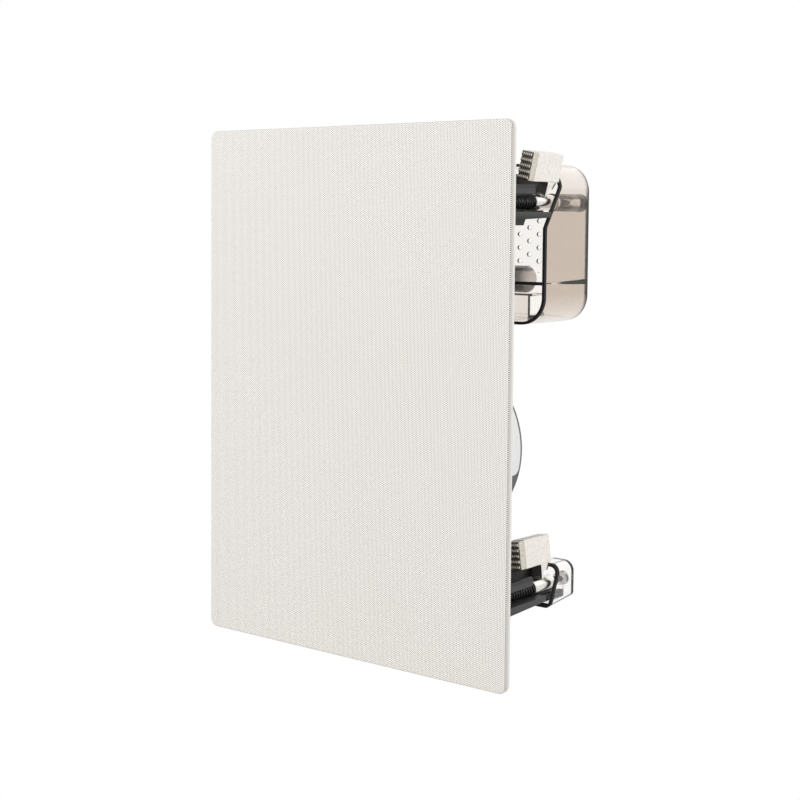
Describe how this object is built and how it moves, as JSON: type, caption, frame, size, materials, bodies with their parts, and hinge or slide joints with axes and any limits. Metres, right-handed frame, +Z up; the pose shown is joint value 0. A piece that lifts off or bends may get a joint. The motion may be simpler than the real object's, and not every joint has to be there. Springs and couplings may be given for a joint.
{
  "type": "in-wall speaker",
  "caption": "Two-way in-wall loudspeaker with a flat white press-on grille, a clear rear cover over the crossover and swing-out clamps that grip the wall board.",
  "frame": {"origin": "middle of the wall opening, on the wall's surface, where the flange bears", "axes": "+X to the right seen from the room, +Y into the wall, +Z up"},
  "size_m": [0.22, 0.1075, 0.31],
  "materials": {
    "grille_steel": "warm white powder coat on finely perforated sheet",
    "magnet_nickel": "bright nickel",
    "frame_plastic": "fine-grained black moulding",
    "tower_plastic": "satin black glass-filled moulding",
    "clear_plastic": "lightly smoked clear polycarbonate",
    "seal_rubber": "black foam rubber",
    "zinc_screw": "zinc-plated steel",
    "black_screw": "blackened steel",
    "spring_steel": "black spring steel",
    "dog_zinc": "tumbled zinc die casting",
    "board_laminate": "green lacquer on laminate",
    "capacitor_film": "grey film wrap",
    "copper_wire": "enamelled copper wire",
    "resistor_cement": "cast cement",
    "terminal_plastic": "black moulding",
    "button_red": "red moulding",
    "button_black": "black moulding",
    "basket_steel": "black lacquered pressing",
    "surround_rubber": "butyl rubber",
    "cone_paper": "black coated paper",
    "spider_cloth": "resin-dipped cloth",
    "plate_steel": "zinc-plated steel",
    "ferrite": "sintered ferrite",
    "can_steel": "dark grey lacquer",
    "label_paper": "white coated label, blank",
    "dome_silk": "coated silk"
  },
  "bodies": {
    "frame": {"assembly_screws": "black_screw", "carrier_posts": "tower_plastic", "clamp_cap_lower_left": "clear_plastic", "clamp_cap_lower_right": "clear_plastic", "clamp_cap_seal_lower_left": "seal_rubber", "clamp_cap_seal_lower_right": "seal_rubber", "clamp_spring_lower_left": "spring_steel", "clamp_spring_lower_right": "spring_steel", "clamp_spring_upper_left": "spring_steel", "clamp_spring_upper_right": "spring_steel", "clamp_tower_lower_left": "tower_plastic", "clamp_tower_lower_right": "tower_plastic", "clamp_tower_upper_left": "tower_plastic", "clamp_tower_upper_right": "tower_plastic", "crossover_board": "board_laminate", "crossover_capacitors": "capacitor_film", "crossover_carrier": "tower_plastic", "crossover_coils": "copper_wire", "crossover_resistors": "resistor_cement", "frame": "frame_plastic", "grille_magnets": "magnet_nickel", "rear_cover": "clear_plastic", "rear_cover_screws": "zinc_screw", "rear_cover_seal": "seal_rubber", "terminal_block": "terminal_plastic", "tweeter_dome": "dome_silk", "tweeter_faceplate": "frame_plastic", "tweeter_motor": "can_steel", "tweeter_screws": "black_screw", "woofer_basket": "basket_steel", "woofer_bucking_magnet": "ferrite", "woofer_can": "can_steel", "woofer_gasket": "seal_rubber", "woofer_label": "label_paper", "woofer_magnet": "ferrite", "woofer_screws": "black_screw", "woofer_spider": "spider_cloth", "woofer_surround": "surround_rubber", "woofer_top_plate": "plate_steel", "woofer_yoke": "plate_steel"},
    "grille": {"grille": "grille_steel"},
    "cone": {"woofer_cone": "cone_paper", "woofer_dust_cap": "cone_paper", "woofer_voice_coil": "copper_wire"},
    "button_red": {"terminal_button_red": "button_red"},
    "button_black": {"terminal_button_black": "button_black"},
    "screw_upper_right": {"clamp_screw_upper_right": "zinc_screw"},
    "washer_upper_right": {"clamp_washer_upper_right": "zinc_screw"},
    "dog_upper_right": {"clamp_dog_upper_right": "dog_zinc"},
    "screw_lower_right": {"clamp_screw_lower_right": "zinc_screw"},
    "washer_lower_right": {"clamp_washer_lower_right": "zinc_screw"},
    "dog_lower_right": {"clamp_dog_lower_right": "dog_zinc"},
    "screw_upper_left": {"clamp_screw_upper_left": "zinc_screw"},
    "washer_upper_left": {"clamp_washer_upper_left": "zinc_screw"},
    "dog_upper_left": {"clamp_dog_upper_left": "dog_zinc"},
    "screw_lower_left": {"clamp_screw_lower_left": "zinc_screw"},
    "washer_lower_left": {"clamp_washer_lower_left": "zinc_screw"},
    "dog_lower_left": {"clamp_dog_lower_left": "dog_zinc"}
  },
  "joints": [
    {"name": "grille_pull", "type": "slide", "parent": "frame", "child": "grille", "axis": [0, -1, 0], "range_m": [0, 0.06]},
    {"name": "cone_travel", "type": "slide", "parent": "frame", "child": "cone", "axis": [0, -1, 0], "range_m": [-0.004, 0.004], "stiffness_N_per_m": 1200, "deforming": ["woofer_surround", "woofer_spider"]},
    {"name": "button_red_press", "type": "slide", "parent": "frame", "child": "button_red", "axis": [0, -1, 0], "range_m": [0, 0.0025], "stiffness_N_per_m": 600},
    {"name": "button_black_press", "type": "slide", "parent": "frame", "child": "button_black", "axis": [0, -1, 0], "range_m": [0, 0.0025], "stiffness_N_per_m": 600},
    {"name": "screw_turn_upper_right", "type": "hinge", "parent": "frame", "child": "screw_upper_right", "pos_m": [0.0885, 0, 0.1115], "axis": [0, 1, 0], "range_deg": [-4, 3874]},
    {"name": "clamp_travel_upper_right", "type": "slide", "parent": "frame", "child": "washer_upper_right", "axis": [0, -1, 0], "range_m": [0, 0.0215], "deforming": ["clamp_spring_upper_right"]},
    {"name": "dog_swing_upper_right", "type": "hinge", "parent": "washer_upper_right", "child": "dog_upper_right", "pos_m": [0.0885, 0.06, 0.1115], "axis": [0, 1, 0], "range_deg": [-22, 78]},
    {"name": "screw_turn_lower_right", "type": "hinge", "parent": "frame", "child": "screw_lower_right", "pos_m": [0.0885, 0, -0.1105], "axis": [0, 1, 0], "range_deg": [-4, 4684]},
    {"name": "clamp_travel_lower_right", "type": "slide", "parent": "frame", "child": "washer_lower_right", "axis": [0, -1, 0], "range_m": [0, 0.026], "deforming": ["clamp_spring_lower_right"]},
    {"name": "dog_swing_lower_right", "type": "hinge", "parent": "washer_lower_right", "child": "dog_lower_right", "pos_m": [0.0885, 0.06, -0.1105], "axis": [0, 1, 0], "range_deg": [-2.4, 97.6]},
    {"name": "screw_turn_upper_left", "type": "hinge", "parent": "frame", "child": "screw_upper_left", "pos_m": [-0.0885, 0, 0.1115], "axis": [0, 1, 0], "range_deg": [-4, 3874]},
    {"name": "clamp_travel_upper_left", "type": "slide", "parent": "frame", "child": "washer_upper_left", "axis": [0, -1, 0], "range_m": [0, 0.0215], "deforming": ["clamp_spring_upper_left"]},
    {"name": "dog_swing_upper_left", "type": "hinge", "parent": "washer_upper_left", "child": "dog_upper_left", "pos_m": [-0.0885, 0.06, 0.1115], "axis": [0, 1, 0], "range_deg": [-10, 90]},
    {"name": "screw_turn_lower_left", "type": "hinge", "parent": "frame", "child": "screw_lower_left", "pos_m": [-0.0885, 0, -0.1105], "axis": [0, 1, 0], "range_deg": [-4, 4684]},
    {"name": "clamp_travel_lower_left", "type": "slide", "parent": "frame", "child": "washer_lower_left", "axis": [0, -1, 0], "range_m": [0, 0.026], "deforming": ["clamp_spring_lower_left"]},
    {"name": "dog_swing_lower_left", "type": "hinge", "parent": "washer_lower_left", "child": "dog_lower_left", "pos_m": [-0.0885, 0.06, -0.1105], "axis": [0, 1, 0], "range_deg": [-10, 90]}
  ],
  "couplings": [
    {"joint": "screw_turn_upper_right", "follows": "clamp_travel_upper_right", "rad_per_m": 3141.6},
    {"joint": "screw_turn_lower_right", "follows": "clamp_travel_lower_right", "rad_per_m": 3141.6},
    {"joint": "screw_turn_upper_left", "follows": "clamp_travel_upper_left", "rad_per_m": 3141.6},
    {"joint": "screw_turn_lower_left", "follows": "clamp_travel_lower_left", "rad_per_m": 3141.6}
  ]
}
